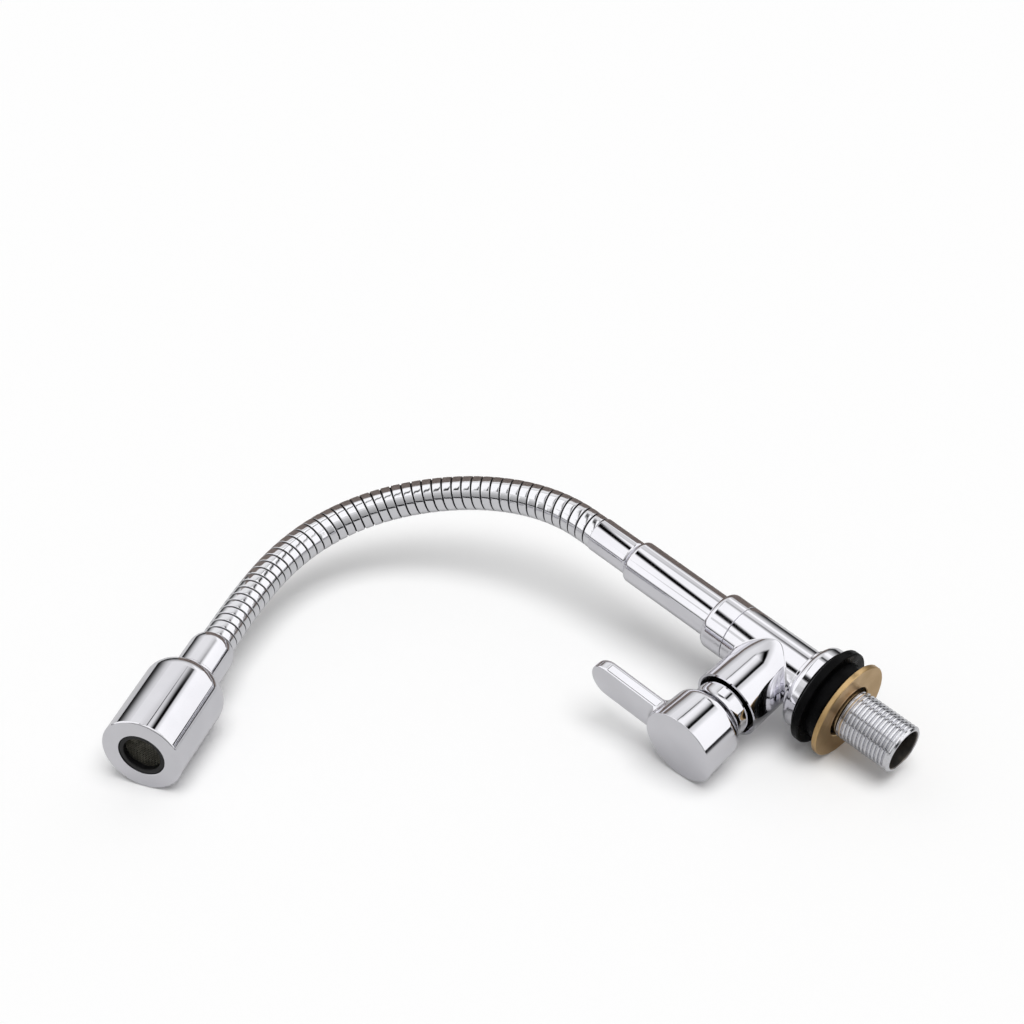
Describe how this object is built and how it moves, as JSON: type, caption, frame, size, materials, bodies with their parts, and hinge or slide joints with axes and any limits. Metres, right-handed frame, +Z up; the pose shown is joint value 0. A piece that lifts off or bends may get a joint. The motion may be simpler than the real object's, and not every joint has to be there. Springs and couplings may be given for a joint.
{
  "type": "pillar tap",
  "caption": "Chrome pillar tap with a round side branch and lever, a threaded tail and a ribbed gooseneck spout that ends in a round spray head.",
  "frame": {"origin": "on the shank's axis, in the plane of the deck that the gasket rests on", "axes": "+Z up along the shank and the pillar; -Y along the side branch, towards the user, the way the spout leans"},
  "size_m": [0.0458, 0.2348, 0.2661],
  "materials": {
    "chrome": "polished",
    "hose_chrome": "polished, fine ribs",
    "brass": "machined",
    "black_rubber": "matt",
    "white_plastic": "moulded",
    "black_plastic": "moulded",
    "steel": "plain",
    "ceramic": "ground",
    "fibre": "pressed",
    "hose_rubber": "extruded"
  },
  "bodies": {
    "base": {"threaded_shank": "chrome", "deck_gasket": "black_rubber", "flange_seal": "black_rubber", "base_flange": "chrome", "shank_seal": "fibre", "tap_body": "chrome", "collar_nut": "chrome", "glide_ring": "white_plastic", "cartridge_body": "brass", "cartridge_oring": "black_rubber", "valve_seal": "black_rubber", "fixed_disc": "ceramic"},
    "loose_washer": {"brass_washer": "brass"},
    "handle": {"lever_handle": "chrome", "handle_bush": "white_plastic", "grub_screw": "steel", "spindle": "brass", "spindle_oring": "black_rubber", "spindle_clip": "steel", "moving_disc": "ceramic"},
    "spout": {"spout_tube": "chrome", "spout_orings": "black_rubber", "split_ring": "brass", "lower_ferrule": "chrome", "ferrule_oring": "black_rubber", "inner_tube": "hose_rubber", "hose_01": "hose_chrome"},
    "hose_link_02": {"hose_02": "hose_chrome"},
    "hose_link_03": {"hose_03": "hose_chrome"},
    "hose_link_04": {"hose_04": "hose_chrome"},
    "hose_link_05": {"hose_05": "hose_chrome"},
    "hose_link_06": {"hose_06": "hose_chrome"},
    "hose_link_07": {"hose_07": "hose_chrome"},
    "hose_link_08": {"hose_08": "hose_chrome"},
    "hose_link_09": {"hose_09": "hose_chrome"},
    "hose_link_10": {"hose_10": "hose_chrome"},
    "hose_link_11": {"hose_11": "hose_chrome"},
    "hose_link_12": {"hose_12": "hose_chrome"},
    "hose_link_13": {"hose_13": "hose_chrome"},
    "hose_link_14": {"hose_14": "hose_chrome"},
    "hose_link_15": {"hose_15": "hose_chrome"},
    "spray_head": {"hose_16": "hose_chrome", "upper_ferrule": "chrome", "head_band": "chrome", "head_nipple": "brass", "nipple_oring": "black_rubber", "spray_bell": "chrome", "aerator_cage": "black_plastic", "aerator_screen": "steel", "aerator_diffuser": "black_plastic", "aerator_seal": "black_rubber"}
  },
  "joints": [
    {"name": "washer_slide", "type": "slide", "parent": "base", "child": "loose_washer", "axis": [0, 0, -1], "range_m": [0, 0.024]},
    {"name": "handle_turn", "type": "hinge", "parent": "base", "child": "handle", "pos_m": [0, -0.045, 0.0281], "axis": [0, -1, 0], "range_deg": [0, 90]},
    {"name": "spout_swivel", "type": "hinge", "parent": "base", "child": "spout", "pos_m": [0, 0, 0.05], "axis": [0, 0, 1], "continuous": true},
    {"name": "hose_bend_01", "type": "hinge", "parent": "spout", "child": "hose_link_02", "pos_m": [0, 0, 0.1376], "axis": [0.9286, -0.3711, 0], "range_deg": [-9.57, 3.35], "deforming": ["inner_tube"]},
    {"name": "hose_bend_02", "type": "hinge", "parent": "hose_link_02", "child": "hose_link_03", "pos_m": [-0.00082, -0.00205, 0.15071], "axis": [0.9291, -0.3699, 0.0002], "range_deg": [-8.91, 3.13]},
    {"name": "hose_bend_03", "type": "hinge", "parent": "hose_link_03", "child": "hose_link_04", "pos_m": [-0.00238, -0.00597, 0.16333], "axis": [0.9357, -0.3527, 0.0064], "range_deg": [-7.86, 2.76]},
    {"name": "hose_bend_04", "type": "hinge", "parent": "hose_link_04", "child": "hose_link_05", "pos_m": [-0.00453, -0.01145, 0.17525], "axis": [0.9547, -0.2955, 0.0361], "range_deg": [-6.93, 2.44]},
    {"name": "hose_bend_05", "type": "hinge", "parent": "hose_link_05", "child": "hose_link_06", "pos_m": [-0.00706, -0.01828, 0.18638], "axis": [0.9758, -0.1922, 0.1043], "range_deg": [-6.66, 2.34]},
    {"name": "hose_bend_06", "type": "hinge", "parent": "hose_link_06", "child": "hose_link_07", "pos_m": [-0.00975, -0.02635, 0.19661], "axis": [0.9784, -0.0879, 0.1872], "range_deg": [-7.32, 2.57]},
    {"name": "hose_bend_07", "type": "hinge", "parent": "hose_link_07", "child": "hose_link_08", "pos_m": [-0.01233, -0.03568, 0.20573], "axis": [0.9692, -0.0295, 0.2444], "range_deg": [-8.75, 3.08]},
    {"name": "hose_bend_08", "type": "hinge", "parent": "hose_link_08", "child": "hose_link_09", "pos_m": [-0.01458, -0.04635, 0.21335], "axis": [0.9631, -0.0108, 0.2688], "range_deg": [-10.41, 3.66]},
    {"name": "hose_bend_09", "type": "hinge", "parent": "hose_link_09", "child": "hose_link_10", "pos_m": [-0.01628, -0.05827, 0.21899], "axis": [0.961, -0.007, 0.2763], "range_deg": [-11.62, 4.08]},
    {"name": "hose_bend_10", "type": "hinge", "parent": "hose_link_10", "child": "hose_link_11", "pos_m": [-0.0173, -0.07114, 0.2222], "axis": [0.9581, -0.0042, 0.2863], "range_deg": [-11.8, 4.14]},
    {"name": "hose_bend_11", "type": "hinge", "parent": "hose_link_11", "child": "hose_link_12", "pos_m": [-0.01755, -0.08442, 0.22283], "axis": [0.9499, -0.0029, 0.3125], "range_deg": [-10.68, 3.75]},
    {"name": "hose_bend_12", "type": "hinge", "parent": "hose_link_12", "child": "hose_link_13", "pos_m": [-0.01703, -0.0976, 0.22112], "axis": [0.9326, -0.0098, 0.3607], "range_deg": [-8.43, 2.96]},
    {"name": "hose_bend_13", "type": "hinge", "parent": "hose_link_13", "child": "hose_link_14", "pos_m": [-0.01581, -0.11037, 0.21763], "axis": [0.9026, -0.0314, 0.4294], "range_deg": [-5.64, 1.99]},
    {"name": "hose_bend_14", "type": "hinge", "parent": "hose_link_14", "child": "hose_link_15", "pos_m": [-0.01405, -0.12273, 0.21303], "axis": [0.8645, -0.0627, 0.4987], "range_deg": [-3.04, 1.08]},
    {"name": "hose_bend_15", "type": "hinge", "parent": "hose_link_15", "child": "spray_head", "pos_m": [-0.01196, -0.13481, 0.20788], "axis": [0.9273, 0.0012, 0.3744], "range_deg": [-1.29, 0.47]}
  ],
  "couplings": [
    {"joint": "hose_bend_02", "follows": "hose_bend_01", "ratio": 0.92913},
    {"joint": "hose_bend_03", "follows": "hose_bend_01", "ratio": 0.81931},
    {"joint": "hose_bend_04", "follows": "hose_bend_01", "ratio": 0.72253},
    {"joint": "hose_bend_05", "follows": "hose_bend_01", "ratio": 0.69336},
    {"joint": "hose_bend_06", "follows": "hose_bend_01", "ratio": 0.76266},
    {"joint": "hose_bend_07", "follows": "hose_bend_01", "ratio": 0.91271},
    {"joint": "hose_bend_08", "follows": "hose_bend_01", "ratio": 1.0862},
    {"joint": "hose_bend_09", "follows": "hose_bend_01", "ratio": 1.2125},
    {"joint": "hose_bend_10", "follows": "hose_bend_01", "ratio": 1.2309},
    {"joint": "hose_bend_11", "follows": "hose_bend_01", "ratio": 1.1134},
    {"joint": "hose_bend_12", "follows": "hose_bend_01", "ratio": 0.87876},
    {"joint": "hose_bend_13", "follows": "hose_bend_01", "ratio": 0.58694},
    {"joint": "hose_bend_14", "follows": "hose_bend_01", "ratio": 0.31579},
    {"joint": "hose_bend_15", "follows": "hose_bend_01", "ratio": 0.13326}
  ]
}
